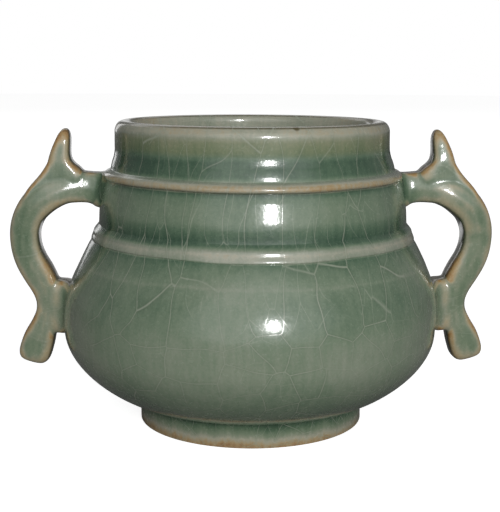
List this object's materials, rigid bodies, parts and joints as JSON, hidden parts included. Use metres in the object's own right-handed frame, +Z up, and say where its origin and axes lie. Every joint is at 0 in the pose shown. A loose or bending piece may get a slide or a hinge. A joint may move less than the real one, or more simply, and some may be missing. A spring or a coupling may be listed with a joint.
{
  "type": "incense burner",
  "caption": "Squat round glazed incense burner on a foot ring, with raised string bands, a thick rim, and side loop handles that carry a horn above and a tail below.",
  "frame": {"origin": "centre of the foot ring's underside, on the surface that the censer stands on", "axes": "+X through the right-hand handle, +Z up the vessel's axis, and the front looks along -Y"},
  "size_m": [0.1486, 0.1156, 0.093],
  "materials": {
    "celadon_glaze": "glossy grey-green celadon glaze with a pale crackle",
    "thin_glaze": "the same glaze where it runs thin, paler and browner on edges",
    "foot_glaze": "streaky green glaze over an orange-brown unglazed foot edge"
  },
  "bodies": {
    "root": {"foot_ring": "foot_glaze", "lower_bowl": "celadon_glaze", "upper_body": "celadon_glaze", "lower_string_band": "thin_glaze", "upper_string_band": "thin_glaze", "rim_band": "thin_glaze", "right_handle_bow": "celadon_glaze", "right_handle_horn": "celadon_glaze", "right_handle_tail": "celadon_glaze", "right_heel_pad": "celadon_glaze", "left_handle_bow": "celadon_glaze", "left_handle_horn": "celadon_glaze", "left_handle_tail": "celadon_glaze", "left_heel_pad": "celadon_glaze"}
  },
  "joints": []
}
